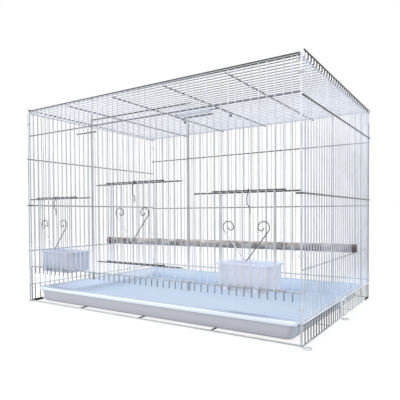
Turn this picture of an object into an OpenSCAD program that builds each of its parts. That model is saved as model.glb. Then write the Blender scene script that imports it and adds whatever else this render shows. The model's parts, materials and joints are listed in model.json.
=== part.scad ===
// Canary breeding cage: welded wire panels, three lift-up doors, two cups, perch, tray and folding handle.
// X runs along the width, the front faces -Y, Z is up. Origin at the middle of the footprint, on the floor.

/* [Overall] */
// Width between the side panels' upright bars
cage_width = 609.6; // [480:0.1:780]
// Depth between the corner bars of one side panel
cage_depth = 412.8; // [320:0.1:520]
// Height of the roof's bars above the floor
cage_height = 404.9; // [340:0.1:520]
// How far the side panels stand up above the roof's bars at the front
side_rise = 7.7; // [6:0.1:16]
// How much lower the side panels' top rails are at the back
side_fall = 4.2; // [0:0.1:5]
// How far the outer top wires of the front and back panels lie above the roof's bars
rim_rise = 3; // [2.8:0.1:6]

/* [Bars] */
// Diameter of the thin bars
bar_d = 1.8; // [1.4:0.1:2.4]
// Diameter of the rails that the bars are welded to
rail_d = 2.4; // [2:0.1:3.2]
// Gap left at a weld, so that each wire stays a solid of its own
weld = 0.03; // [0.02:0.01:0.05]
// Gaps between the bars of the front panel, an odd number
front_gaps = 47; // [45:2:49]
// Gaps between the bars of the back panel
back_gaps = 48; // [40:1:54]
// Gaps between the bars of a side panel and of the roof
side_gaps = 33; // [29:1:37]
// Gaps between the roof's cross bars
roof_fields = 5; // [4:1:6]
// Gaps between the cross bars of the base
base_fields = 4; // [3:1:6]

/* [Panels] */
// How far the front and back panels sit in from the corner bars
panel_inset = 3.6; // [3.5:0.1:5]
// How far the front and back panels' end bars stand in from the last place of the bar grid
end_inset = 0; // [0:0.1:3]
// Height of the upper front rail
upper_rail_z = 356; // [330:0.5:400]
// Height of the second upper rail between the posts
ladder_z = 366.8; // [361:0.2:378]
// Height of the short rails beside the posts
short_rail_z = 344; // [340:0.2:350]
// Height of the rail over the tray's opening
sill_z = 75.6; // [66:0.2:90]
// Height of the bar ends over the tray's opening
stub_z = 62.5; // [50:0.5:68]
// Heights of the left panel's outer rails
left_rails = [36.7, 109.8, 306]; // [20:0.1:400]
// Heights of the right panel's outer rails
right_rails = [35.5, 109.8, 349.5]; // [20:0.1:400]
// Height of the left panel's hooked rail
left_hook_z = 207; // [190:0.5:214]
// Height of the right panel's hooked rail
right_hook_z = 215.6; // [190:0.1:216]
// Heights of the back panel's rails
back_rails = [42, 203, 340]; // [20:0.1:400]
// How far the hooked rails turn in round the front corner
hook_reach = 8; // [6:0.5:11]

/* [Doors] */
// Height of the rail over the side doors
side_header_z = 219.5; // [200:0.5:240]
// Height of the rail over the middle door
mid_header_z = 242; // [225:0.5:260]
// Height of the rail under the middle door
mid_sill_z = 98; // [90:0.5:120]
// Diameter of a door's top and bottom wires
door_d = 2; // [1.6:0.1:2.4]
// Clearance between a door's end loops and the bars they slide on
loop_clear = 0.4; // [0.3:0.05:0.6]
// Height of the heart ornament
heart_h = 60; // [40:1:80]
// Diameter of the ornament's wire
heart_d = 1.4; // [1:0.1:1.8]
// Length of a door's hanging hook
hook_len = 36; // [24:1:46]
// Diameter of the hanging hook's wire
hook_d = 1.4; // [1.2:0.1:1.8]

/* [Rings] */
// Diameter of the wire of the rings that join the panels
ring_d = 1.6; // [1.2:0.1:2]

/* [Cups] */
// Height of the cup rims
cup_rim_z = 112; // [100:0.5:130]
// Height of a cup from floor to rim
cup_h = 43.5; // [30:0.5:54]
// Depth of a cup from front to back
cup_depth = 60; // [40:1:80]
// Width of a cup, in gaps of the front panel
cup_gaps = 7.45; // [5.8:0.05:7.6]
// Wall thickness of a cup
cup_wall = 1.8; // [1.2:0.1:3]

/* [Perch] */
// Diameter of the perch
perch_d = 16.5; // [10:0.1:19]
// Side bar that the perch's left end straddles, counted from the front
perch_left = 19; // [8:1:26]
// Side bar that the perch's right end straddles, counted from the front
perch_right = 22; // [8:1:26]
// How far the perch stands out past the side bars
perch_out = 7.5; // [7:0.5:16]

/* [Tray] */
// Height of the tray's rim above the floor
tray_rim_z = 32; // [24:0.5:50]
// Gap between the tray's rim and each side panel
tray_gap = 5; // [4.6:0.1:10]
// Wall thickness of the tray
tray_wall = 2; // [1.5:0.1:3]
// Slope of the tray's side walls, measured across
tray_side_draft = 7; // [4:1:20]
// Width of the tray's flat rim
tray_rim = 9; // [6:0.5:14]
// Depth of the ledge along the tray's front, hollow under it
tray_ledge = 19; // [13:1:30]
// How far the rim's outer edge is turned down
tray_lip = 8; // [3:0.5:12]

/* [Handle] */
// Distance between the handle's legs
handle_w = 124; // [100:1:150]
// How far the handle sits to the left of the middle
handle_left = 18; // [0:1:40]
// Length of the handle's legs
handle_l = 45; // [34:0.5:60]
// Diameter of the handle's wire
handle_d = 3; // [2.4:0.1:4]
// Roof bar that the handle hinges on, counted from the front
handle_bar = 21; // [14:1:26]
// Diameter of the grip
grip_d = 10; // [8:0.5:14]
// Length of the grip
grip_l = 88; // [60:1:94]
// How far the grip has slid to the left on its bar
grip_left = 6; // [0:0.5:8]

/* [Feet] */
// Diameter of the rubber sleeves under the base
foot_d = 5.2; // [4.6:0.1:8]
// Length of each sleeve
foot_l = 23; // [14:1:40]
// Radius of the flat wire loops that stand beside the base
foot_loop_r = 5.5; // [3.5:0.1:6]

/* [Hidden] */
$fn = 32;
bar = bar_d / 2;
rail = rail_d / 2;
touch = bar + rail + weld;
// how far a bent wire's straights reach into its bends, and how much thinner the bends are
lap = 0.1;
thin = 0.04;
hw = cage_width / 2;
hd = cage_depth / 2;
// fixed distances: front grille inside the side panels, gaps in the middle bay, bars of a double post,
// top rail under the rim, corner wires over the roof, side top rail short of the corners, thin base wires,
// lowest two rings, top ring under the roof, arch, flat loops, sleeves in from the corners
corner_step = 2.2;
bay_gaps = 17;
post_gap = 3.4;
top_drop = 1.4;
corner_rise = 1.5;
rail_stop = 3.5;
spacer_d = 1.2;
low_rings = [52, 128];
ring_drop = 24;
arch_d = 2;
arch_legs = [-20, 11];
arch_bend = 12;
loop_d = 2;
loop_back = 12;
sleeve_in = 8;
steel = [0.93, 0.94, 0.96];
pale = [0.78, 0.85, 0.95];
// heights in the base and the roof
base_z = foot_d / 2;
base_top = base_z + rail + weld;
roof_z = cage_height;
cross_z = roof_z - touch;
rim_z = roof_z + rim_rise;
top_rail_z = rim_z - top_drop;
corner_top = roof_z + corner_rise;
function side_top(y) = roof_z + side_rise - rail - side_fall * (y + hd) / cage_depth;
// the front panel's grid of bars
front_y = -(hd - panel_inset);
front_half = hw - corner_step;
end_x = front_half - end_inset;
pitch = 2 * front_half / front_gaps;
function fx(i) = -front_half + i * pitch;
front_rail_y = front_y + touch;
side_pitch = cage_depth / side_gaps;
function sy(j) = -hd + j * side_pitch;
last = front_gaps;
mid_a = (front_gaps - bay_gaps) / 2;
mid_b = mid_a + bay_gaps;
// each door: first and last bar that it slides on, rail under it, rail over it
left_span = [2, 11, sill_z, side_header_z];
right_span = [last - 11, last - 2, sill_z, side_header_z];
mid_span = [mid_a + 3, mid_b - 4, mid_sill_z, mid_header_z];
function mid_of(s) = (fx(s[0]) + fx(s[1])) / 2;
// a door's wires, forward of the bars
loop_r = bar + loop_clear + door_d / 2;
door_y = front_y - loop_r;
grid_y = door_y - door_d / 2 - bar - weld;
heart_y = grid_y - bar - heart_d / 2 - weld;
rest = rail + door_d / 2 + 0.1;
function door_lo(s) = s[2] + rest + 0.2;
function door_hi(s) = s[3] + rest;
hook_eye = door_d / 2 + 0.1 + hook_d / 2;
// cups
cup_y = front_rail_y + rail + 0.4;
cup_w = cup_gaps * pitch;
left_cup_x = fx(5.5);
right_cup_x = fx(last - 7.5);
cup_draft = 1.5;
cup_rim = 2;
tongue_w = 8;
tongue_t = 1.6;
tongue_drop = 7;
// perch
perch_z = left_rails[1] + rail + 0.1 + perch_d / 2;
perch_angle = atan2(sy(perch_right) - sy(perch_left), cage_width);
perch_len = cage_width / cos(perch_angle) + 2 * perch_out;
perch_y = (sy(perch_left) + sy(perch_right)) / 2;
perch_slot = 3;
// tray
tray_hx = hw - bar - tray_gap;
tray_y0 = front_y + 8.4;
tray_y1 = -front_rail_y - rail - 3;
tray_z = base_z + rail + 0.3;
tray_front = tray_y0 + tray_wall / 2;
tray_corner = 18;
floor_corner = 12;
front_draft = 1;
back_draft = 6;
// handle
hinge_y = sy(handle_bar);
eye_r = bar + 0.08 + handle_d / 2;
handle_tilt = asin((grip_d / 2 + bar + 0.6 - eye_r) / handle_l);

// Straight wire along X
module wire_x(x0, x1, y, z, d) {
  translate([x0, y, z]) rotate([0, 90, 0]) cylinder(h = x1 - x0, d = d);
}

// Straight wire along Y
module wire_y(x, y0, y1, z, d) {
  translate([x, y0, z]) rotate([-90, 0, 0]) cylinder(h = y1 - y0, d = d);
}

// Straight wire along Z
module wire_z(x, y, z0, z1, d) {
  translate([x, y, z0]) cylinder(h = z1 - z0, d = d);
}

// Part of a ring in the XY plane, from angle a0 over sweep degrees
module arc(r, d, a0, sweep) {
  rotate([0, 0, a0]) rotate_extrude(angle = sweep) translate([r, 0]) circle(d = d);
}

function unit(v) = v / norm(v);
function side_of(a, b) = sign(a[0] * b[1] - a[1] * b[0]);
function turn(a, b) = acos(max(-1, min(1, a * b)));
function cut(p, r, i) = (i == 0 || i == len(p) - 1) ? 0 :
  r * tan(turn(unit(p[i] - p[i - 1]), unit(p[i + 1] - p[i])) / 2);

// Bent wire in the XY plane through the points p, every corner rounded to radius r.
// The straights reach a little into the bends, which are a hair thinner.
module bent(p, r, d) {
  for (i = [0 : len(p) - 2]) {
    u = unit(p[i + 1] - p[i]);
    a = p[i] + u * (cut(p, r, i) - (i > 0 ? lap : 0));
    b = p[i + 1] - u * (cut(p, r, i + 1) - (i < len(p) - 2 ? lap : 0));
    translate([a[0], a[1], 0]) rotate([0, 90, atan2(u[1], u[0])]) cylinder(h = norm(b - a), d = d);
  }
  for (i = [1 : len(p) - 2]) {
    u = unit(p[i] - p[i - 1]);
    v = unit(p[i + 1] - p[i]);
    s = side_of(u, v);
    c = p[i] - u * cut(p, r, i) + s * r * [-u[1], u[0]];
    a0 = atan2(u[1], u[0]) - s * 90;
    translate([c[0], c[1], 0]) arc(r, d - thin, s > 0 ? a0 : a0 - turn(u, v), turn(u, v));
  }
}

// True where a front bar is cut away for the door span s
function in_door(i, s) = i > s[0] + 1 && i < s[1] - 1;
function cut_low(i) = in_door(i, left_span) || in_door(i, right_span);
function cut_mid(i) = in_door(i, mid_span);

// Front grille: 48 bars, cut for the three doors, with full-width rails and door rails
module front_panel() color(steel) {
  for (i = [1 : last - 1]) {
    if (cut_low(i)) {
      wire_z(fx(i), front_y, stub_z, sill_z + rail, bar_d);
      wire_z(fx(i), front_y, side_header_z - rail, rim_z, bar_d);
    } else if (cut_mid(i)) {
      wire_z(fx(i), front_y, stub_z, mid_sill_z + rail, bar_d);
      wire_z(fx(i), front_y, mid_header_z - rail, rim_z, bar_d);
    } else {
      wire_z(fx(i), front_y, stub_z, rim_z, bar_d);
    }
  }
  for (s = [-1, 1]) wire_z(s * end_x, front_y - rail + bar, base_top, rim_z, rail_d);
  for (z = [sill_z, upper_rail_z, top_rail_z])
    wire_x(-front_half - rail, front_half + rail, front_rail_y, z, rail_d);
  wire_x(rail + weld - end_x, end_x - rail - weld, front_y - touch, rim_z, rail_d);
  wire_x(-front_half - rail, fx(14) + rail, front_rail_y, side_header_z, rail_d);
  wire_x(fx(last - 14) - rail, front_half + rail, front_rail_y, side_header_z, rail_d);
  for (z = [mid_sill_z, mid_header_z])
    wire_x(fx(mid_a + 1) - 6, fx(mid_b - 1) + rail, front_rail_y, z, rail_d);
}

// Second bar at each side of the middle bay, making a double post
module bay_posts() color(steel)
  for (s = [-1, 1]) wire_z(s * (fx(mid_b) + post_gap), front_y, stub_z, rim_z, bar_d);

// Short rails above the middle door and beside the posts
module ladder_rails() color(steel) {
  wire_x(fx(mid_a) - 5, fx(mid_b) + 5, front_rail_y, ladder_z, rail_d);
  gap = loop_r + door_d;
  wire_x(fx(left_span[1]) + gap, fx(mid_a + 0.5), front_rail_y, short_rail_z, rail_d);
  wire_x(fx(mid_b - 0.5), fx(right_span[0]) - gap, front_rail_y, short_rail_z, rail_d);
}

// Back grille
module back_panel() color(steel) {
  for (i = [1 : back_gaps - 1])
    wire_z(-front_half + i * 2 * front_half / back_gaps, -front_y, base_top, rim_z, bar_d);
  for (s = [-1, 1]) wire_z(s * end_x, -front_y + rail - bar, base_top, rim_z, rail_d);
  for (z = concat(back_rails, [top_rail_z]))
    wire_x(-front_half - rail, front_half + rail, -front_rail_y, z, rail_d);
  wire_x(rail + weld - end_x, end_x - rail - weld, touch - front_y, rim_z, rail_d);
}

// Side grille, drawn for the right and mirrored for the left. Its rails lie on the outside,
// the top one stops short of the corners and falls a little towards the back.
module side_panel(rails) {
  for (j = [1 : side_gaps - 1]) wire_z(hw, sy(j), base_top, side_top(sy(j)) + rail, bar_d);
  for (s = [-1, 1]) wire_z(hw - rail + bar, s * hd, base_top, corner_top, rail_d);
  for (z = rails) wire_y(hw + touch, -hd - rail, hd + rail, z, rail_d);
  y = hd - rail_stop;
  slope = atan2(side_fall, cage_depth);
  translate([hw + touch, -y, side_top(-y)]) rotate([-90 - slope, 0, 0])
    cylinder(h = 2 * y / cos(slope), d = rail_d);
}

module left_panel() color(steel) mirror([1, 0, 0]) side_panel(left_rails);
module right_panel() color(steel) side_panel(right_rails);

// Middle rail of each side panel; its front end turns in round the corner and back between the front bars
module hook_rails() color(steel) for (s = [[-1, left_hook_z], [1, right_hook_z]]) {
  x = hw + touch;
  y = -hd - rail_d - weld;
  leg = hw - hook_reach;
  translate([0, 0, s[1]]) mirror([s[0] < 0 ? 1 : 0, 0, 0])
    bent([[x, hd + rail], [x, y], [leg, y], [leg, front_y + 1]], rail_d + weld, rail_d);
}

// Roof grille: long bars over cross bars
module roof_panel() color(steel) {
  for (j = [1 : side_gaps - 1]) wire_x(-hw + bar + weld, hw - bar - weld, sy(j), roof_z, bar_d);
  end = -front_y - bar - weld;
  for (k = [0 : roof_fields])
    wire_y((hw - touch) * (2 * k / roof_fields - 1), -end, end, cross_z, rail_d);
}

// Base: two long side wires, front and back wires, cross bars under the tray and two thin wires under those
module base_frame() color(steel) {
  for (s = [-1, 1]) {
    wire_y(s * hw, -hd - rail, hd + rail, base_z, rail_d);
    wire_x(-hw + rail + weld, hw - rail - weld, s * front_y, base_z, rail_d);
  }
  end = -front_y - rail - weld;
  for (k = [1 : base_fields - 1]) wire_y(cage_width * (k / base_fields - 0.5), -end, end, base_z, rail_d);
  for (s = [-1, 1]) wire_x(-hw - rail, hw + rail, s * hd / 3, base_z - rail - weld - spacer_d / 2, spacer_d);
}

// Wire arch on the outside of each long base wire, halfway back, under the side panel's lowest rail
module side_arches() color(steel) for (s = [[-1, left_rails[0]], [1, right_rails[0]]]) {
  top = s[1] - rail - arch_d / 2 - weld;
  translate([s[0] * (hw + rail + arch_d / 2 + weld), 0, 0]) rotate([90, 0, 90])
    bent([[arch_legs[0], base_z], [arch_legs[0], top], [arch_legs[1], top], [arch_legs[1], base_z]],
      arch_bend, arch_d);
}

// Flat wire loops that stand on the floor beside the base wires
module foot_loops() color(steel)
  for (p = [[1, -hd + rail], [1, -loop_back], [-1, -loop_back]])
    translate([p[0] * (hw + rail + foot_loop_r + loop_d / 2 + weld), p[1], loop_d / 2])
      arc(foot_loop_r, loop_d, 0, 360);

// Ring closed round two rails whose centres are a and b
module ring(a, b) {
  m = (a + b) / 2;
  translate([m[0], m[1], 0]) arc(norm(a - b) / 2 + rail + ring_d / 2 + 0.05, ring_d, 0, 360);
}

// Steel rings that hold the panels together at the four upright edges and the roof to the front and back
module corner_rings() color(steel) for (mx = [0, 1], my = [0, 1]) mirror([mx, 0, 0]) mirror([0, my, 0]) {
  for (z = concat(low_rings, [roof_z - ring_drop])) translate([0, 0, z])
    ring([hw - rail + bar, hd], [end_x, -front_y + rail - bar]);
  translate([(fx(last - 1) + end_x) / 2, 0, 0]) rotate([90, 0, 90])
    ring([-front_rail_y, top_rail_z], [hd - side_pitch, roof_z]);
}

// Black rubber sleeves that the base stands on, slit along the top where the side bars come down
module feet() color([0.06, 0.06, 0.06])
  for (p = [[-1, -1], [-1, 1], [1, 1]])
    translate([p[0] * hw, p[1] * (hd - sleeve_in - foot_l / 2), base_z]) rotate([90, 0, 0]) difference() {
      cylinder(h = foot_l, d = foot_d, center = true);
      cylinder(h = foot_l + 1, d = rail_d + 0.1, center = true);
      translate([0, foot_d / 2, 0]) cube([bar_d + 0.2, foot_d, foot_l + 1], center = true);
    }

// Lift-up door: top and bottom wires that end in loops round the front bars, and the grid between them
module door(s) {
  x0 = fx(s[0]);
  x1 = fx(s[1]);
  for (z = [door_lo(s), door_hi(s)]) {
    wire_x(x0 - lap, x1 + lap, door_y, z, door_d);
    translate([x0, front_y, z]) arc(loop_r, door_d - thin, 0, 270);
    translate([x1, front_y, z]) arc(loop_r, door_d - thin, -90, 270);
  }
  for (i = [s[0] + 1 : s[1] - 1])
    wire_z(fx(i), grid_y, door_lo(s) - door_d / 2, door_hi(s) + door_d / 2, bar_d);
}

module left_door() color(steel) door(left_span);
module centre_door() color(steel) door(mid_span);
module right_door() color(steel) door(right_span);

// Scroll at the top of one of the heart's arms: outer lobe round c and inner curl
module scroll(c, r, a) {
  translate([c[0], c[1], 0]) arc(r, heart_d - thin, a - 90, 270 - a);
  wire_y(c[0] - r, c[1] - lap, c[1] + lap, 0, heart_d);
  translate([c[0] - r / 2, c[1], 0]) arc(r / 2, heart_d - thin, 180, 180);
}

// Heart ornament of bent wire, welded across a door's bars
module heart(s) {
  k = heart_h / 60;
  r = 9 * k;
  c = [29.5 * k, 51 * k];
  a = atan2(c[1], c[0]) - asin(r / norm(c));
  arm = (sqrt(c * c - r * r) + lap) * [cos(a), sin(a)];
  translate([mid_of(s), heart_y, door_lo(s) + 38 * k]) rotate([90, 0, 0]) {
    bent([[-arm[0], arm[1]], [0, 0], arm], 2, heart_d);
    scroll(c, r, a);
    mirror([1, 0, 0]) scroll(c, r, a);
  }
}

module left_heart() color(steel) heart(left_span);
module centre_heart() color(steel) heart(mid_span);
module right_heart() color(steel) heart(right_span);

// Hook that hangs by an eye from a door's top wire and holds the lifted door up
module door_hook(s) {
  f = -hook_eye;
  h = hook_len;
  translate([mid_of(s) + pitch / 4, door_y, door_hi(s)]) {
    rotate([90, 0, 90]) {
      arc(hook_eye, hook_d - thin, -95, 275);
      bent([[f, lap], [f, -4], [f - 3.4, -9], [f - 3.4, -h / 2]], 2, hook_d);
    }
    translate([0, f - 3.4, 0]) rotate([90, 0, 0])
      bent([[0, lap - h / 2], [0, -h / 2 - 2], [5, -h / 2 - 8], [5, -h]], 2, hook_d - thin);
  }
}

module left_door_hook() color(steel) door_hook(left_span);
module centre_door_hook() color(steel) door_hook(mid_span);
module right_door_hook() color(steel) door_hook(right_span);

// Block with sloping side and back walls: w and d at the top, drawn in by e at the bottom
module cup_block(w, d, z0, z1, e) {
  intersection() {
    translate([0, d, 0]) rotate([90, 0, 0]) linear_extrude(height = d)
      polygon([[-w / 2 + e, z0], [w / 2 - e, z0], [w / 2, z1], [-w / 2, z1]]);
    translate([-w / 2, 0, 0]) rotate([90, 0, 90]) linear_extrude(height = w)
      polygon([[0, z0], [d - e, z0], [d, z1], [0, z1]]);
  }
}

// Open plastic cup; two tongues hook over the sill rail
module cup(x) color(pale) translate([x, cup_y, 0]) {
  z0 = cup_rim_z - cup_h;
  difference() {
    union() {
      cup_block(cup_w - 2 * cup_rim, cup_depth - cup_rim, z0, cup_rim_z, cup_draft);
      translate([-cup_w / 2, 0, cup_rim_z - cup_rim]) cube([cup_w, cup_depth, cup_rim]);
    }
    translate([0, cup_wall, 0])
      cup_block(cup_w - 2 * cup_rim - 2 * cup_wall, cup_depth - cup_rim - 2 * cup_wall,
        z0 + cup_wall, cup_rim_z + 2, cup_draft);
  }
}

// Tongue of a cup: over the rail and down in front of it
module tongues(x) color(pale) for (s = [-2, 2]) translate([x + s * pitch - tongue_w / 2, 0, 0]) {
  z = sill_z + rail + 0.2;
  translate([0, front_y - 1, z]) cube([tongue_w, cup_y - front_y + 1 + cup_wall / 2, tongue_t]);
  translate([0, front_y - 1, z - tongue_drop]) cube([tongue_w, 1.7, tongue_drop + tongue_t]);
}

module left_cup() union() { cup(left_cup_x); tongues(left_cup_x); }
module right_cup() union() { cup(right_cup_x); tongues(right_cup_x); }

// Wooden perch; a slot in each end straddles a side bar
module perch() color([0.62, 0.58, 0.55]) translate([0, perch_y, perch_z]) rotate([0, 0, perch_angle])
  difference() {
    rotate([0, 90, 0]) cylinder(h = perch_len, d = perch_d, center = true);
    for (s = [-1, 1]) translate([s * (perch_len / 2 - perch_out / 2 + 1), 0, 0])
      cube([perch_out + 5, perch_slot, perch_d + 2], center = true);
  }

// Flat outline with rounded corners, from -x to x and y0 to y1
module rounded(x, y0, y1, r) {
  translate([-x + r, y0]) square([2 * x - 2 * r, y1 - y0]);
  translate([-x, y0 + r]) square([2 * x, y1 - y0 - 2 * r]);
  for (px = [-x + r, x - r], py = [y0 + r, y1 - r]) translate([px, py]) circle(r = r);
}

// Block with sloping walls for the tray, its sides moved in by t, its front at y0
module tray_block(t, y0, z0, z1) {
  x = tray_hx - tray_rim - t;
  y1 = tray_y1 - tray_rim - t;
  e = tray_side_draft;
  intersection() {
    translate([0, y1, 0]) rotate([90, 0, 0]) linear_extrude(height = y1 - y0)
      polygon([[-x + e, z0], [x - e, z0], [x, z1], [-x, z1]]);
    translate([-x, 0, 0]) rotate([90, 0, 90]) linear_extrude(height = 2 * x)
      polygon([[y0 + front_draft, z0], [y1 - back_draft, z0], [y1, z1], [y0, z1]]);
    linear_extrude(height = z1) rounded(x, y0, y1, floor_corner);
  }
}

// Band of width w and height h along the outside of the tray's rim
module tray_band(w, h) {
  difference() {
    translate([0, 0, tray_rim_z - h]) linear_extrude(height = h)
      rounded(tray_hx, tray_y0, tray_y1, tray_corner);
    translate([0, 0, tray_rim_z - 2 * h]) linear_extrude(height = 3 * h)
      rounded(tray_hx - w, tray_y0 + w, tray_y1 - w, tray_corner - tray_wall);
  }
}

// Slide-out tray with drafted walls, a flat rim that is turned down at its edge and a ledge at the front
module tray() color(pale) difference() {
  union() {
    tray_block(0, tray_front, tray_z, tray_rim_z);
    tray_band(tray_rim + tray_wall, tray_wall);
    tray_band(tray_wall, tray_lip);
  }
  tray_block(tray_wall, tray_y0 + tray_ledge, tray_z + tray_wall, tray_rim_z + 2);
  intersection() {
    tray_block(tray_wall, tray_front + tray_wall, tray_z - 1, tray_rim_z - tray_wall);
    translate([-hw, tray_front, 0])
      cube([cage_width, tray_y0 + tray_ledge - tray_wall - tray_front, tray_rim_z]);
  }
}

// Folding wire handle: an eye round a roof bar at each end, two legs and the bar that carries the grip
module handle_bail() color(steel) translate([-handle_left, hinge_y, roof_z]) rotate([-handle_tilt, 0, 0]) {
  x = handle_w / 2;
  for (s = [-1, 1]) translate([s * x, 0, 0]) rotate([90, 0, 90]) arc(eye_r, handle_d - thin, -175, 265);
  translate([0, 0, eye_r])
    bent([[-x, lap], [-x, -handle_l], [x, -handle_l], [x, lap]], 9, handle_d);
}

// Plastic grip, a loose sleeve on the handle's bar
module handle_grip() color([0.95, 0.95, 0.95]) translate([-handle_left, hinge_y, roof_z])
  rotate([-handle_tilt, 0, 0]) translate([-grip_left, -handle_l, eye_r]) rotate([0, 90, 0]) difference() {
    cylinder(h = grip_l, d = grip_d, center = true);
    cylinder(h = grip_l + 1, d = handle_d + 0.1, center = true);
  }

front_panel();
bay_posts();
ladder_rails();
back_panel();
left_panel();
right_panel();
hook_rails();
roof_panel();
base_frame();
side_arches();
foot_loops();
corner_rings();
feet();
left_door();
centre_door();
right_door();
left_heart();
centre_heart();
right_heart();
left_door_hook();
centre_door_hook();
right_door_hook();
left_cup();
right_cup();
perch();
tray();
handle_bail();
handle_grip();
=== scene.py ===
import json
import math
from math import radians

import bmesh
import bpy
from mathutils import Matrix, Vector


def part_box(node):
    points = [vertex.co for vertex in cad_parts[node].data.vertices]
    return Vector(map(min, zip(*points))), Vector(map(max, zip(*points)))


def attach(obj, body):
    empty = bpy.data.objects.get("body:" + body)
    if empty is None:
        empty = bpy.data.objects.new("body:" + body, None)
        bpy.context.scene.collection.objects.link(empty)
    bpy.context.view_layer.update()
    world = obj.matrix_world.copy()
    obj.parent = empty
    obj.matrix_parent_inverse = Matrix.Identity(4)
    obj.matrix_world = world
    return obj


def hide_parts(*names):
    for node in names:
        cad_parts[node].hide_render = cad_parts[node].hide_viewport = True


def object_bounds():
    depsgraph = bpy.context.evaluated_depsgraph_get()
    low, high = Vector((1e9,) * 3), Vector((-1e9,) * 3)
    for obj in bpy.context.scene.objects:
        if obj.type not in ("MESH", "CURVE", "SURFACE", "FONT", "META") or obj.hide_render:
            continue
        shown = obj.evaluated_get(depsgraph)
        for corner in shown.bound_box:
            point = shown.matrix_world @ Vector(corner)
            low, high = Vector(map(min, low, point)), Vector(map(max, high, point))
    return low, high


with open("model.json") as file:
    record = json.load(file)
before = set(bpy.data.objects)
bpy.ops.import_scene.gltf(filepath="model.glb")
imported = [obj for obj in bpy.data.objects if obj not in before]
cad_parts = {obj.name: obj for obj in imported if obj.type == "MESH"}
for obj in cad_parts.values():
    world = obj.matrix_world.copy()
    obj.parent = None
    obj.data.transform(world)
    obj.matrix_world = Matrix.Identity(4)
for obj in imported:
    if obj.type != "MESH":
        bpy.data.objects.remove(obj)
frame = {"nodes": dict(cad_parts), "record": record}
cad_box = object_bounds()


# Camera. The photograph was taken from beyond the near right corner, with the lens
# a little under half the cage's height and almost level.
bpy.ops.object.camera_add(
    location=(0.511, -0.7665, 0.1883),
    rotation=(radians(88.64), radians(0.31), radians(32.57)),
)
camera = bpy.context.object
camera.data.sensor_width = 36
camera.data.lens = 38.2
camera.data.shift_x = -0.0222
camera.data.shift_y = 0.0584
camera.data.clip_start = 0.02
bpy.context.scene.camera = camera


# Floor and light. A white sweep in a bright studio: a wide soft box overhead, weaker ones
# at the sides, white walls that go grey towards the ceiling. The floor takes the shadow.
def add(nodes, kind, **values):
    """Adds a shader node and sets its options and inputs, with _ for a space in an input's name."""
    node = nodes.new("ShaderNode" + kind)
    for key, value in values.items():
        if hasattr(node, key):
            setattr(node, key, value)
        else:
            node.inputs[key.replace("_", " ")].default_value = value
    return node


def ranged(nodes, link, value, **ends):
    """Brings a value from one range to another."""
    new_range = add(nodes, "MapRange", **ends)
    link(value, new_range.inputs["Value"])
    return new_range.outputs[0]


def mixed_shader(nodes, link, share, first, second):
    mix = add(nodes, "MixShader")
    link(share, mix.inputs[0])
    link(first.outputs[0], mix.inputs[1])
    link(second.outputs[0], mix.inputs[2])
    return mix


def seen_rays(nodes, link):
    """1 where the camera, a mirror reflection or a see-through piece looks straight at it."""
    path = add(nodes, "LightPath")
    seen = path.outputs["Is Camera Ray"]
    for ray in ("Is Glossy Ray", "Is Transmission Ray"):
        either = add(nodes, "Math", operation="MAXIMUM")
        link(seen, either.inputs[0])
        link(path.outputs[ray], either.inputs[1])
        seen = either.outputs[0]
    return seen


world = bpy.data.worlds.new("studio")
world.use_nodes = True
bpy.context.scene.world = world
nodes, link = world.node_tree.nodes, world.node_tree.links.new
ambient = nodes["Background"]
ambient.inputs["Color"].default_value = (0.93, 0.96, 1.0, 1)
ambient.inputs["Strength"].default_value = 0.9
heading = add(nodes, "TexCoord")
height = add(nodes, "SeparateXYZ")
link(heading.outputs["Generated"], height.inputs[0])
brightness = ranged(
    nodes, link, height.outputs["Z"], From_Min=0.55, From_Max=0.9, To_Min=1.0, To_Max=0.2
)
walls = add(nodes, "Background", Color=(1, 1, 1, 1))
link(brightness, walls.inputs["Strength"])
surroundings = mixed_shader(nodes, link, seen_rays(nodes, link), ambient, walls)
link(surroundings.outputs[0], nodes["World Output"].inputs["Surface"])

floor_drop = 0.0004
bpy.ops.object.select_all(action="DESELECT")
bpy.ops.mesh.primitive_plane_add(size=14, location=(0, 0, cad_box[0][2] - floor_drop))
floor = bpy.context.object
floor.name = "floor"
floor_finish = bpy.data.materials.new("white_sweep")
floor_finish.use_nodes = True
nodes, link = floor_finish.node_tree.nodes, floor_finish.node_tree.links.new
nodes.remove(nodes["Principled BSDF"])
dull = add(nodes, "BsdfDiffuse", Color=(0.55, 0.54, 0.53, 1))
paper = add(nodes, "BsdfDiffuse", Color=(1, 1, 1, 1))
glow = add(nodes, "Emission")
# the shadow shows under and round the cage, and fades away from it
spot = add(nodes, "TexCoord")
reach = add(nodes, "VectorMath", operation="LENGTH")
link(spot.outputs["Object"], reach.inputs[0])
fade = ranged(
    nodes, link, reach.outputs["Value"], From_Min=0.35, From_Max=1.0, To_Min=0.88, To_Max=1.0
)
lit = mixed_shader(nodes, link, fade, paper, glow)
whole = mixed_shader(nodes, link, seen_rays(nodes, link), dull, lit)
link(whole.outputs[0], nodes["Material Output"].inputs["Surface"])
floor.data.materials.append(floor_finish)

for name, place, turn, width, power in (
    ("overhead", (0.1, -0.3, 2.3), (radians(8), radians(3), 0), 2.4, 27),
    ("front_left", (-1.9, -1.6, 1.0), (radians(68), 0, radians(-50)), 1.6, 16),
    ("right", (2.2, -0.2, 0.9), (radians(74), 0, radians(86)), 1.4, 5),
):
    bpy.ops.object.light_add(type="AREA", location=place, rotation=turn)
    lamp = bpy.context.object
    lamp.name = name
    lamp.data.size = width
    lamp.data.energy = power

bpy.context.scene.view_settings.view_transform = "Standard"


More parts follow.
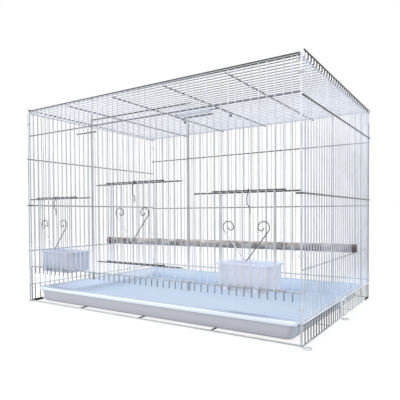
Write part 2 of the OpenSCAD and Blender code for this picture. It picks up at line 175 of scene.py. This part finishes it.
# Wire grilles, base, doors, ornaments, hooks, corner rings and bail. Hard-drawn steel wire,
# spot welded where it crosses and zinc plated. Thin bars are painted pale and thick rails
# darker, as painted light and shade.
def started(name):
    """Starts a finish: returns it with its nodes, its link call, its shader and its coordinates."""
    finish = bpy.data.materials.new(name)
    finish.use_nodes = True
    nodes, link = finish.node_tree.nodes, finish.node_tree.links.new
    place = add(nodes, "TexCoord").outputs["Object"]
    return finish, nodes, link, nodes["Principled BSDF"], place


def noise(nodes, link, place, **values):
    texture = add(nodes, "TexNoise", **values)
    link(place, texture.inputs["Vector"])
    return texture.outputs[0]


def mixed_colour(nodes, link, share, first, second):
    """Mixes two colours, each of them a tone or the output of a node."""
    mix = add(nodes, "Mix", data_type="RGBA")
    link(share, mix.inputs[0])
    for socket, colour in ((mix.inputs[6], first), (mix.inputs[7], second)):
        if isinstance(colour, tuple):
            socket.default_value = (*colour, 1)
        else:
            link(colour, socket)
    return mix.outputs[2]


def shaded(nodes, link, colour, factor):
    """Darkens or lightens a colour by a factor."""
    product = add(nodes, "VectorMath", operation="SCALE")
    link(colour, product.inputs[0])
    link(factor, product.inputs["Scale"])
    return product.outputs[0]


def bump(nodes, link, relief, shader, strength, distance):
    dents = add(nodes, "Bump", Strength=strength, Distance=distance)
    link(relief, dents.inputs["Height"])
    link(dents.outputs[0], shader.inputs["Normal"])


soft_edge = 0.0004
crisp = 0.00002
tip_slope = 0.15
wall_slope = 0.25


def zoned(nodes, link, place, shown, zones):
    """Lays zones over the colour shown and returns the result. A zone is a tone and the tests that
    hold where it shows; a test is an axis, a side, a limit and, unless it is soft_edge, half the
    width of its edge. |X| and |Y| are distances from the middle, Slant is the height plus a share
    of X, and Wall is |X| less the slope of the tray's side walls."""
    axes = add(nodes, "SeparateXYZ")
    link(place, axes.inputs[0])
    at = {axis: axes.outputs[axis] for axis in "XYZ"}
    for axis in "XY":
        distance = add(nodes, "Math", operation="ABSOLUTE")
        link(at[axis], distance.inputs[0])
        at["|%s|" % axis] = distance.outputs[0]
    for key, axis, slope, start in (
        ("Slant", "X", tip_slope, "Z"),
        ("Wall", "Z", -wall_slope, "|X|"),
    ):
        tilted = add(nodes, "Math", operation="MULTIPLY_ADD")
        tilted.inputs[1].default_value = slope
        link(at[axis], tilted.inputs[0])
        link(at[start], tilted.inputs[2])
        at[key] = tilted.outputs[0]
    for tone, *tests in zones:
        inside = None
        for axis, side, limit, *edge in tests:
            rise = (edge[0] if edge else soft_edge) * (1 if side == ">" else -1)
            holds = ranged(nodes, link, at[axis], From_Min=limit - rise, From_Max=limit + rise)
            if inside:
                both = add(nodes, "Math", operation="MULTIPLY")
                link(inside, both.inputs[0])
                link(holds, both.inputs[1])
                holds = both.outputs[0]
            inside = holds
        shown = mixed_colour(nodes, link, inside, shown, tone)
    return shown


def plating(name, tone, zones=()):
    """Zinc on drawn wire, a little uneven from bar to bar, with a fine grain, under zones of
    painted light and shade.
    """
    finish, nodes, link, shader, place = started(name)
    shader.inputs["Metallic"].default_value = 0.55
    plain = add(nodes, "RGB")
    plain.outputs[0].default_value = (*tone, 1)
    zinc = zoned(nodes, link, place, plain.outputs[0], zones)
    patches = noise(nodes, link, place, Scale=34, Detail=4)
    uneven = ranged(nodes, link, patches, From_Min=0.3, From_Max=0.7, To_Min=0.82, To_Max=1.08)
    link(shaded(nodes, link, zinc, uneven), shader.inputs["Base Color"])
    grain = noise(nodes, link, place, Scale=900, Detail=2)
    link(ranged(nodes, link, grain, To_Min=0.26, To_Max=0.44), shader.inputs["Roughness"])
    bump(nodes, link, grain, shader, strength=0.25, distance=0.0001)
    return finish


def paint(node, finish):
    mesh = frame["nodes"][node].data
    mesh.materials.clear()
    mesh.materials.append(finish)


white_highlight_zinc = (0.86, 0.89, 0.95)
highlit_zinc = (0.76, 0.79, 0.87)
pale_zinc = (0.72, 0.74, 0.79)
cup_highlight_zinc = (0.72, 0.75, 0.81)
sky_light_zinc = (0.72, 0.79, 0.92)
tip_highlight_zinc = (0.67, 0.70, 0.77)
warm_light_zinc = (0.66, 0.70, 0.70)
front_zinc = (0.53, 0.555, 0.585)
side_zinc = (0.55, 0.58, 0.65)
rail_shade_zinc = (0.50, 0.53, 0.58)
half_shade_zinc = (0.38, 0.39, 0.42)
rear_zinc = (0.34, 0.36, 0.40)
post_zinc = (0.30, 0.31, 0.34)
stub_shade_zinc = (0.26, 0.275, 0.31)
cross_shade_zinc = (0.26, 0.27, 0.30)
grey_shade_zinc = (0.24, 0.245, 0.26)
dark_shade_zinc = (0.10, 0.103, 0.112)
edge_shade_zinc = (0.07, 0.072, 0.08)
deep_shade_zinc = (0.045, 0.046, 0.05)
# the rails lie behind the bars at the front and the back, and outside them at the sides
front_rail = ("|Y|", "<", 0.20188, crisp)
side_rail = ("|X|", ">", 0.30570, crisp)
door_wire = ("|Y|", "<", 0.20612, crisp)
cross_bar = ("Z", "<", 0.40398, crisp)
above_sill = ("Z", ">", 0.087, 0.007)
beside_tray = ("Z", "<", 0.0335)
front_half = ("Y", "<", -0.02, 0.04)
rear_half = ("Y", ">", -0.02, 0.04)
# the upper part of the bars, reaching lower towards the right, painted lighter as a painted
# highlight
highlit_tips = (tip_highlight_zinc, ("Slant", ">", 0.358, 0.010))
# bars in front of the cups painted pale as a painted highlight
beside_cups = (cup_highlight_zinc, ("Z", ">", 0.077, 0.001), ("Z", "<", 0.128, 0.012))
# stubs below the sill painted dark as shade
stubs = (stub_shade_zinc, ("Z", "<", 0.0740), ("X", "<", 0.297))
finish_of = {
    "front_panel": plating("zinc_front", front_zinc, (
        highlit_tips,
        beside_cups,
        stubs,
        # rails painted darker than the bars, and darker still above the sill, as painted shade
        (rail_shade_zinc, front_rail),
        (dark_shade_zinc, front_rail, above_sill),
        # upper rail painted in shade, left part of the top rail painted light as a highlight, and
        # the rim wire's upper face painted in shade
        (grey_shade_zinc, front_rail, ("Z", ">", 0.350), ("Z", "<", 0.362)),
        (highlit_zinc, front_rail, ("Z", ">", 0.400), ("X", "<", 0.05, 0.15)),
        (dark_shade_zinc, ("|Y|", ">", 0.2038, crisp), ("Z", ">", 0.40665)),
    )),
    "bay_posts": plating("zinc_posts", post_zinc, (highlit_tips, beside_cups, stubs)),
    "back_panel": plating("zinc_back", pale_zinc, (
        # rails painted in shade, darker higher up
        (rail_shade_zinc, front_rail),
        (dark_shade_zinc, front_rail, ("Z", ">", 0.15, 0.10)),
    )),
    "right_panel": plating("zinc_sides", side_zinc, (
        # bars, from the roof down: painted lighter near it and light blue in front of the tray's
        # wall, as painted light, and beside the tray painted in shade at the front and lighter at
        # the back
        (highlit_zinc, ("Z", ">", 0.32, 0.02)),
        (sky_light_zinc, ("Z", ">", 0.037, 0.001), ("Z", "<", 0.066, 0.012)),
        (grey_shade_zinc, beside_tray, front_half, ("Y", ">", -0.205)),
        (warm_light_zinc, beside_tray, rear_half),
        # rails painted in shade, darker higher up, but the lowest painted white as a highlight;
        # then the rear post darker, and the right top rail painted in deep shade
        (rail_shade_zinc, side_rail),
        (deep_shade_zinc, side_rail, ("Z", ">", 0.2375, 0.1225)),
        (white_highlight_zinc, side_rail, ("Z", "<", 0.050)),
        (rear_zinc, ("Y", ">", 0.2052), ("Z", "<", 0.38)),
        (edge_shade_zinc, ("Z", ">", 0.4040), ("Y", ">", -0.190, 0.008), ("X", ">", 0.0)),
    )),
    "roof_panel": plating("zinc_roof", (0.66, 0.68, 0.78), (
        # lavender grey painted as shade, darker on the long bars at the front right, then on the
        # cross bars, the outermost ones pale
        (half_shade_zinc, ("Y", "<", -0.02, 0.05), ("X", ">", -0.05, 0.15)),
        (cross_shade_zinc, cross_bar),
        (pale_zinc, ("|X|", ">", 0.300), cross_bar),
    )),
    "base_frame": plating("zinc_base", (0.46, 0.475, 0.505), (
        # ends of the cross bars painted black as shade, and the rear part of the side wires painted
        # light as a highlight
        (deep_shade_zinc, ("|Y|", ">", 0.1846), ("|Y|", "<", 0.2014), ("|X|", "<", 0.30)),
        (highlit_zinc, ("|X|", ">", 0.3036), ("Y", ">", -0.06, 0.05)),
    )),
    "foot_loops": plating("zinc_loop", pale_zinc),
    # the arches painted near white as painted light, brighter than the shade they stand in
    "side_arches": plating("zinc_arch", (0.95, 0.97, 1.0)),
}
finish_of["left_panel"] = finish_of["right_panel"]
# bars beside the cups painted pale as a highlight, rails painted in shade, darker above the sill
door_finish = plating("zinc_doors", front_zinc, (
    beside_cups,
    (rail_shade_zinc, door_wire),
    (dark_shade_zinc, door_wire, above_sill),
))
# hooks, rails and bail painted dark as shade
thick_shade_finish = plating("zinc_thick_shade", dark_shade_zinc)
bare_finish = plating("zinc_wire", pale_zinc)
lit_arm_height = 0.043
for entry in frame["record"]["subparts"]:
    node = entry["node"]
    if entry["material_slot"] != "wire":
        continue
    if node.endswith("_heart"):
        # the arm that leans to the left catches the light
        low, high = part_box(node)
        left_arm = ("X", "<", (low[0] + high[0]) / 2)
        straight = ("Z", "<", low[2] + lit_arm_height, 0.004)
        paint(node, plating("zinc_" + node, dark_shade_zinc, ((pale_zinc, left_arm, straight),)))
    elif node in finish_of:
        paint(node, finish_of[node])
    elif node.endswith("_door"):
        paint(node, door_finish)
    else:
        # hooks, rails and bail take the finish painted in shade
        thick = node.endswith(("_hook", "_rails", "_bail"))
        paint(node, thick_shade_finish if thick else bare_finish)


# Tray. Vacuum-formed pale blue sheet with a recessed floor, sloping walls and a ribbed rim
# whose outer edge is turned down. It slides out to the front over the base wires.
def pick(kind, test):
    """In edit mode, selects only the vertices or faces whose middle passes the test."""
    bpy.ops.mesh.select_mode(type=kind)
    bpy.ops.mesh.select_all(action="DESELECT")
    shape = bmesh.from_edit_mesh(bpy.context.object.data)
    for item in shape.verts if kind == "VERT" else shape.faces:
        item.select_set(bool(test(item.co if kind == "VERT" else item.calc_center_median(), item)))
    shape.select_flush_mode()
    bmesh.update_edit_mesh(bpy.context.object.data)


def flat_plate(width, height, place, turn=(0, 0, 0)):
    """Adds a flat plate, in edit mode."""
    bpy.ops.object.select_all(action="DESELECT")
    bpy.ops.mesh.primitive_plane_add(size=1, location=place, rotation=turn)
    bpy.context.object.scale = (width, height, 1)
    bpy.ops.object.transform_apply(location=True, rotation=True, scale=True)
    bpy.ops.object.mode_set(mode="EDIT")


def rounded_sheet(name, outline, corner):
    """Starts a sheet: a flat face with rounded corners, left selected in edit mode."""
    half, front, back, z, x = outline
    flat_plate(2 * half, back - front, (x, (front + back) / 2, z))
    bpy.context.object.name = name
    bpy.ops.mesh.select_mode(type="VERT")
    bpy.ops.mesh.select_all(action="SELECT")
    bpy.ops.mesh.bevel(offset=corner, segments=7, affect="VERTICES")
    bpy.ops.mesh.select_all(action="SELECT")
    return list(outline)


def draw_out(now, half, front, back, z):
    """Extrudes the selected face and brings it to a new outline and height."""
    old_half, old_front, old_back, old_z, x = now
    shift = (front + back - old_front - old_back) / 2
    bpy.ops.mesh.extrude_region_move(TRANSFORM_OT_translate={"value": (0, shift, z - old_z)})
    bpy.ops.transform.resize(
        value=(half / old_half, (back - front) / (old_back - old_front), 1),
        center_override=(x, (front + back) / 2, z),
    )
    now[:] = [half, front, back, z, x]


def turn_out(axis, leader):
    """Makes the sheet's faces agree, so that the one that leads faces down the axis."""
    bpy.ops.mesh.select_all(action="SELECT")
    bpy.ops.mesh.normals_make_consistent(inside=False)
    shape = bmesh.from_edit_mesh(bpy.context.object.data)
    if max(shape.faces, key=leader).normal[axis] > 0:
        bpy.ops.mesh.flip_normals()


def thicken(thickness, edge):
    """Leaves edit mode, gives the sheet its thickness and rounds its edges."""
    bpy.ops.object.mode_set(mode="OBJECT")
    piece = bpy.context.object
    wall = piece.modifiers.new("wall", "SOLIDIFY")
    wall.thickness = thickness
    wall.offset = -1
    bpy.ops.object.modifier_apply(modifier="wall")
    round_off = piece.modifiers.new("round_off", "BEVEL")
    round_off.width = edge
    round_off.segments = 2
    round_off.limit_method = "ANGLE"
    round_off.angle_limit = radians(30)
    bpy.ops.object.modifier_apply(modifier="round_off")
    bpy.ops.object.shade_smooth_by_angle(angle=radians(40))
    return piece


def joined(main, *others):
    bpy.ops.object.select_all(action="DESELECT")
    for piece in (main, *others):
        piece.select_set(True)
    bpy.context.view_layer.objects.active = main
    bpy.ops.object.join()
    return main


def moulded(name, tones, gloss, zones=()):
    """Glossy plastic of two tones that cloud into each other."""
    finish, nodes, link, shader, place = started(name)
    cloud = noise(nodes, link, place, Scale=9, Detail=3)
    spread = ranged(nodes, link, cloud, From_Min=0.35, From_Max=0.65)
    clouded = mixed_colour(nodes, link, spread, *tones)
    link(zoned(nodes, link, place, clouded, zones), shader.inputs["Base Color"])
    scuffs = noise(nodes, link, place, Scale=220, Detail=4)
    worn = ranged(nodes, link, scuffs, To_Min=gloss - 0.08, To_Max=gloss + 0.12)
    link(worn, shader.inputs["Roughness"])
    bump(nodes, link, scuffs, shader, strength=0.2, distance=0.0002)
    return finish


low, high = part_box("tray")
sheet = 0.0018
top = high[2] - sheet
floor_corner = 0.013
floor_outline = (high[0] - 0.0164, low[1] + 0.0206, high[1] - 0.0150, low[2], 0)
now = rounded_sheet("tray_sheet", floor_outline, floor_corner)
# side margin, front margin, height: up the wall, over the ribbed ledge and down the outer edge
for side_in, front_in, z in (
    (0.0158, 0.0202, low[2] + 0.0008),
    (0.0094, 0.0192, top - 0.0010),
    (0.0088, 0.0186, top),
    (0.0080, 0.0176, top - 0.0004),
    (0.0070, 0.0164, top - 0.0018),
    (0.0062, 0.0150, top - 0.0012),
    (0.0036, 0.0040, top - 0.0006),
    (sheet + 0.0006, sheet + 0.0006, top),
    (sheet, sheet, top - 0.0010),
    (sheet, sheet, high[2] - 0.0062),
):
    draw_out(now, high[0] - side_in, low[1] + front_in, high[1] - side_in, z)
bpy.ops.mesh.delete(type="FACE")
# the floor is raised a little inside a border
floor_rise = 0.0012
pick("FACE", lambda middle, face: abs(face.normal.z) > 0.9 and middle.z < low[2] + 0.0001)
bpy.ops.mesh.inset(thickness=floor_corner * 0.6, depth=0)
bpy.ops.transform.translate(value=(0, 0, floor_rise))
turn_out(2, leader=lambda face: face.calc_area())  # the floor
tray = thicken(sheet, 0.0005)

# skirt that closes the front under the ledge: a drafted plate with a cheek at each end
skirt_top, skirt_low = top + 0.0002, low[2] + 0.0003
top_half, low_half = high[0] - 0.0094, high[0] - 0.0158
face_y = low[1] + 0.0024
draft = 0.0010
cheek = 0.0200
cheek_bend = 0.0110
skirt_middle = (0, face_y, (skirt_top + skirt_low) / 2)
flat_plate(2 * top_half, skirt_top - skirt_low, skirt_middle, turn=(radians(90), 0, 0))
pick("VERT", lambda co, vert: co.z < low[2] + 0.001)
bpy.ops.transform.resize(
    value=(low_half / top_half, 1, 1), center_override=(0, face_y, skirt_low)
)
bpy.ops.transform.translate(value=(0, draft, 0))
for side in (-1, 1):
    pick("VERT", lambda co, vert: co.x * side > 0 and co.y < face_y + 0.002)
    bpy.ops.mesh.extrude_region_move(TRANSFORM_OT_translate={"value": (0, cheek, 0)})
for side in (-1, 1):
    pick("VERT", lambda co, vert: co.x * side > 0 and co.y < face_y + 0.002)
    bpy.ops.mesh.bevel(offset=cheek_bend, segments=7, affect="EDGES")
turn_out(1, leader=lambda face: face.calc_area())
skirt = thicken(sheet, 0.0004)
tray = joined(tray, skirt)

wall_light_blue = (0.60, 0.67, 0.76)
back_light_blue = (0.60, 0.71, 0.86)
left_light_blue = (0.78, 0.85, 0.98)
shaded_skirt_grey = (0.575, 0.58, 0.635)
skirt_shade = (0.40, 0.40, 0.43)
side_shade_blue = (0.22, 0.25, 0.34)
side_ledge_blue = (0.62, 0.68, 0.76)
front_ledge_blue = (0.62, 0.70, 0.82)
groove_shade_blue = (0.48, 0.56, 0.68)
lip_highlight_white = (0.86, 0.92, 0.99)
below_rim = ("Z", "<", high[2] - 0.0020)
on_ledge = ("Z", ">", high[2] - 0.0040)
front_face = ("Y", "<", low[1] + 0.0062)
skirt_edge = high[2] - 0.0066
tray_finish = moulded("blue_tray", ((0.48, 0.60, 0.77), (0.50, 0.61, 0.75)), 0.34, (
    # the tray's inner walls painted lighter than its floor as painted light, the left one most
    (wall_light_blue, ("|X|", ">", high[0] - 0.0200), below_rim),
    (back_light_blue, ("Y", ">", high[1] - 0.0170), below_rim),
    (left_light_blue, ("X", "<", 0.0152 - high[0]), ("Y", ">", low[1] + 0.0200), below_rim),
    # the front skirt painted grey as shade, and darker at its foot
    (shaded_skirt_grey, front_face, ("Z", "<", skirt_edge)),
    (skirt_shade, front_face, ("Z", "<", low[2] + 0.0022)),
    # the outer side walls painted dark blue as shade
    (side_shade_blue, ("Wall", ">", high[0] - 0.0161)),
    (side_ledge_blue, on_ledge, ("Wall", ">", high[0] - 0.0186)),
    (front_ledge_blue, on_ledge, ("Y", "<", low[1] + 0.0200)),
    # the groove in the ledge painted darker as shade
    (groove_shade_blue, on_ledge, ("Y", "<", low[1] + 0.0172), ("Y", ">", low[1] + 0.0150)),
    # the side edges painted dark blue as shade
    (side_shade_blue, ("|X|", ">", high[0] - 0.0012), ("Z", "<", high[2] - 0.0014)),
    # the rolled lip painted white as a highlight
    (lip_highlight_white, ("Y", "<", low[1] + 0.0032), ("Z", ">", skirt_edge)),
))
tray.data.materials.append(tray_finish)
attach(tray, "tray")
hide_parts("tray")


# Seed and water cups. Injection-moulded tubs of the same pale plastic with a folded rim;
# two tongues hook over the sill rail, so that each cup lifts off.
cup_depth = 0.060
cup_height = 0.0435
cup_corner = 0.0075
cup_wall = 0.0016
low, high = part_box("left_cup")
left_cup_low = low
middle_x = (low[0] + high[0]) / 2
half = (high[0] - low[0]) / 2
front = high[1] - cup_depth
back = high[1]
bottom = high[2] - cup_height
base_outline = (half - 0.0058, front + 0.0014, back - 0.0056, bottom, middle_x)
now = rounded_sheet("cup_tub_left", base_outline, cup_corner)
# side, front and back margin, height: up the drafted wall, out over the rim and down its edge
for side_in, front_in, back_in, z in (
    (0.0046, 0.0007, 0.0044, bottom + 0.0014),
    (0.0037, 0.0004, 0.0036, high[2] - 0.0036),
    (0.0026, 0.0003, 0.0026, high[2] - 0.0018),
    (0.0016, 0.0002, 0.0016, high[2] - 0.0018),
    (0.0016, 0.0002, 0.0016, high[2] - 0.0040),
):
    draw_out(now, half - side_in, front + front_in, back - back_in, z)
bpy.ops.mesh.delete(type="FACE")
# the cup's floor leads, as its lowest face
turn_out(2, leader=lambda face: face.calc_area() - 1000 * face.calc_center_median().z)
tub = thicken(cup_wall, 0.0005)

tongue_spread = 0.025755
tongue_width = 0.008
tongue_top = 0.0770
tongue_drop = 0.0068
tongue_in = 0.0017
tongue_root = front + 0.0013
tongues = []
for step in (-1, 1):
    tongue_middle = (middle_x + step * tongue_spread, (low[1] + tongue_root) / 2, tongue_top)
    flat_plate(tongue_width, tongue_root - low[1], tongue_middle)
    bpy.ops.mesh.select_all(action="SELECT")
    bpy.ops.mesh.flip_normals()
    pick("VERT", lambda co, vert: co.y < low[1] + 0.0005)
    bpy.ops.transform.translate(value=(0, tongue_in, 0))
    bpy.ops.mesh.extrude_region_move(TRANSFORM_OT_translate={"value": (0, 0, -tongue_drop)})
    tongues.append(thicken(cup_wall, 0.0004))
left_cup = joined(tub, *tongues)

# the left cup is painted darker than the right, as painted shade
cup_tones = {
    "left": ((0.58, 0.67, 0.82), (0.66, 0.66, 0.76)),
    "right": ((0.74, 0.84, 0.98), (0.82, 0.82, 0.95)),
}
for side in ("left", "right"):
    cup = left_cup
    if side == "right":
        bpy.ops.object.select_all(action="DESELECT")
        left_cup.select_set(True)
        bpy.context.view_layer.objects.active = left_cup
        bpy.ops.object.duplicate(linked=False)
        cup = bpy.context.object
        cup.name = "cup_tub_right"
        cup.location.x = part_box("right_cup")[0][0] - left_cup_low[0]
        bpy.ops.object.transform_apply(location=True, rotation=False, scale=False)
    cup.data.materials.clear()
    cup.data.materials.append(moulded(side + "_cup_blue", cup_tones[side], 0.3))
    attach(cup, side + "_cup")
    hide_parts(side + "_cup")


# Perch. A rough-turned hardwood dowel, grey and mottled from use, with a slot sawn in each
# end that straddles a bar of the side grille.
bar_span = 0.6096
side_pitch = 0.4128 / 33
bars_skewed = 3
overhang = 0.015
dowel_radius = 0.00825
saw_size = (0.014, 0.003, 0.03)
saw_in = 0.0035
low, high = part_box("perch")
angle = math.atan2(bars_skewed * side_pitch, bar_span)
length = bar_span / math.cos(angle) + overhang
bpy.ops.object.select_all(action="DESELECT")
bpy.ops.mesh.primitive_cylinder_add(
    vertices=40, radius=dowel_radius, depth=length, rotation=(0, radians(90), 0)
)
perch = bpy.context.object
perch.name = "perch_dowel"
bpy.ops.object.transform_apply(location=True, rotation=True, scale=True)
bpy.ops.object.mode_set(mode="EDIT")
pick("FACE", lambda middle, face: abs(face.normal.x) > 0.9)
bpy.ops.mesh.bevel(offset=0.0009, segments=2, affect="EDGES")
bpy.ops.mesh.select_mode(type="EDGE")
bpy.ops.mesh.select_all(action="DESELECT")
shape = bmesh.from_edit_mesh(perch.data)
for edge in shape.edges:
    edge.select_set(edge.calc_length() > length / 2)
bmesh.update_edit_mesh(perch.data)
bpy.ops.mesh.subdivide(number_cuts=110)
bpy.ops.object.mode_set(mode="OBJECT")
rough = bpy.data.textures.new("rough_turning", "CLOUDS")
rough.noise_scale = 0.016
uneven = perch.modifiers.new("uneven", "DISPLACE")
uneven.texture = rough
uneven.texture_coords = "LOCAL"
uneven.strength = 0.0009
uneven.mid_level = 0.62
bpy.ops.object.modifier_apply(modifier="uneven")
for end in (-1, 1):
    bpy.ops.object.select_all(action="DESELECT")
    bpy.ops.mesh.primitive_cube_add(size=1, location=(end * (length / 2 - saw_in), 0, 0))
    saw = bpy.context.object
    saw.scale = saw_size
    bpy.ops.object.transform_apply(location=True, rotation=True, scale=True)
    bpy.context.view_layer.objects.active = perch
    slot_cut = perch.modifiers.new("slot_cut", "BOOLEAN")
    slot_cut.object = saw
    slot_cut.solver = "EXACT"
    bpy.ops.object.modifier_apply(modifier="slot_cut")
    bpy.data.objects.remove(saw)
bpy.ops.object.select_all(action="DESELECT")
perch.select_set(True)
perch.rotation_euler = (0, 0, angle)
perch.location = [(low[i] + high[i]) / 2 for i in range(3)]
bpy.ops.object.transform_apply(location=True, rotation=True, scale=True)
bpy.ops.object.shade_smooth_by_angle(angle=radians(40))


def toned(nodes, link, value, *stops):
    """Turns a value into a colour between stops, each of them a place and a tone."""
    ramp = add(nodes, "ValToRGB")
    elements = ramp.color_ramp.elements
    for element, (position, tone) in zip(elements, (stops[0], stops[-1])):
        element.position, element.color = position, (*tone, 1)
    for position, tone in stops[1:-1]:
        elements.new(position).color = (*tone, 1)
    link(value, ramp.inputs["Fac"])
    return ramp.outputs[0]


wood, nodes, link, shader, place = started("grey_dowel")
lay = add(nodes, "Mapping")
lay.inputs["Rotation"].default_value = (0, 0, -angle)
lay.inputs["Scale"].default_value = (0.22, 1, 1)
link(place, lay.inputs["Vector"])
figure = noise(nodes, link, lay.outputs[0], Scale=240, Detail=6, Roughness=0.7)
grain_tone = toned(
    nodes, link, figure,
    (0.33, (0.25, 0.225, 0.205)),
    (0.5, (0.55, 0.51, 0.48)),
    (0.66, (0.82, 0.79, 0.76)),
)
stains = noise(nodes, link, place, Scale=26, Detail=2)
stained = ranged(nodes, link, stains, From_Min=0.36, From_Max=0.6, To_Min=0.45, To_Max=1.0)
darkened = shaded(nodes, link, grain_tone, stained)
axes = add(nodes, "SeparateXYZ")
link(place, axes.inputs[0])
along = add(nodes, "Math", operation="ABSOLUTE")
link(axes.outputs["X"], along.inputs[0])
near_end = ranged(
    nodes, link, along.outputs[0], From_Min=0.285, From_Max=0.303, To_Min=0.0, To_Max=0.75
)
end_tone = (0.10, 0.055, 0.05)
link(mixed_colour(nodes, link, near_end, darkened, end_tone), shader.inputs["Base Color"])
bump(nodes, link, figure, shader, strength=0.6, distance=0.0004)
shader.inputs["Roughness"].default_value = 0.78
perch.data.materials.append(wood)
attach(perch, "perch")
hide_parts("perch")


# Carrying grip. A white moulded plastic barrel, a little fatter in the middle, with rolled
# ends. It turns loosely on the bail's wire, which runs through it.
low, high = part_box("handle_grip")
middle_x, middle_y, middle_z = [(low[i] + high[i]) / 2 for i in range(3)]
# each ring's place along the barrel and its radius, from inside one end to inside the other
rings = (
    (-0.0430, 0.0017), (-0.0440, 0.0024), (-0.0440, 0.0034), (-0.0434, 0.0040),
    (-0.0400, 0.0043), (-0.0280, 0.0047), (-0.0120, 0.0050), (0.0120, 0.0050),
    (0.0280, 0.0047), (0.0400, 0.0043), (0.0434, 0.0040), (0.0440, 0.0034),
    (0.0440, 0.0024), (0.0430, 0.0017),
)
bpy.ops.object.select_all(action="DESELECT")
bpy.ops.mesh.primitive_circle_add(
    vertices=36, radius=rings[0][1], fill_type="NGON",
    location=(middle_x + rings[0][0], middle_y, middle_z), rotation=(0, radians(90), 0),
)
grip = bpy.context.object
grip.name = "grip_barrel"
bpy.ops.object.transform_apply(location=True, rotation=True, scale=True)
bpy.ops.object.mode_set(mode="EDIT")
bpy.ops.mesh.select_all(action="SELECT")
for (x0, r0), (x1, r1) in zip(rings, rings[1:]):
    bpy.ops.mesh.extrude_region_move(TRANSFORM_OT_translate={"value": (x1 - x0, 0, 0)})
    bpy.ops.transform.resize(
        value=(1, r1 / r0, r1 / r0), center_override=(middle_x + x1, middle_y, middle_z)
    )
bpy.ops.mesh.select_all(action="SELECT")
bpy.ops.mesh.remove_doubles(threshold=0.00001)
bpy.ops.mesh.normals_make_consistent(inside=False)
bpy.ops.object.mode_set(mode="OBJECT")
bpy.ops.object.shade_smooth_by_angle(angle=radians(40))
grip.data.materials.append(moulded("white_grip", ((0.80, 0.81, 0.83), (0.76, 0.77, 0.80)), 0.42))
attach(grip, "handle")
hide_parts("handle_grip")


# Rubber sleeves under the base. Extruded black tube, slit so that it snaps over the side
# wires, dusty and rubbed grey where it stands.
rubber, nodes, link, shader, place = started("black_sleeve")
dust = noise(nodes, link, place, Scale=160, Detail=5)
dusty = toned(
    nodes, link, dust,
    (0.4, (0.012, 0.012, 0.013)),
    (0.75, (0.09, 0.09, 0.092)),
)
link(dusty, shader.inputs["Base Color"])
bump(nodes, link, dust, shader, strength=0.4, distance=0.0002)
shader.inputs["Roughness"].default_value = 0.62
paint("feet", rubber)
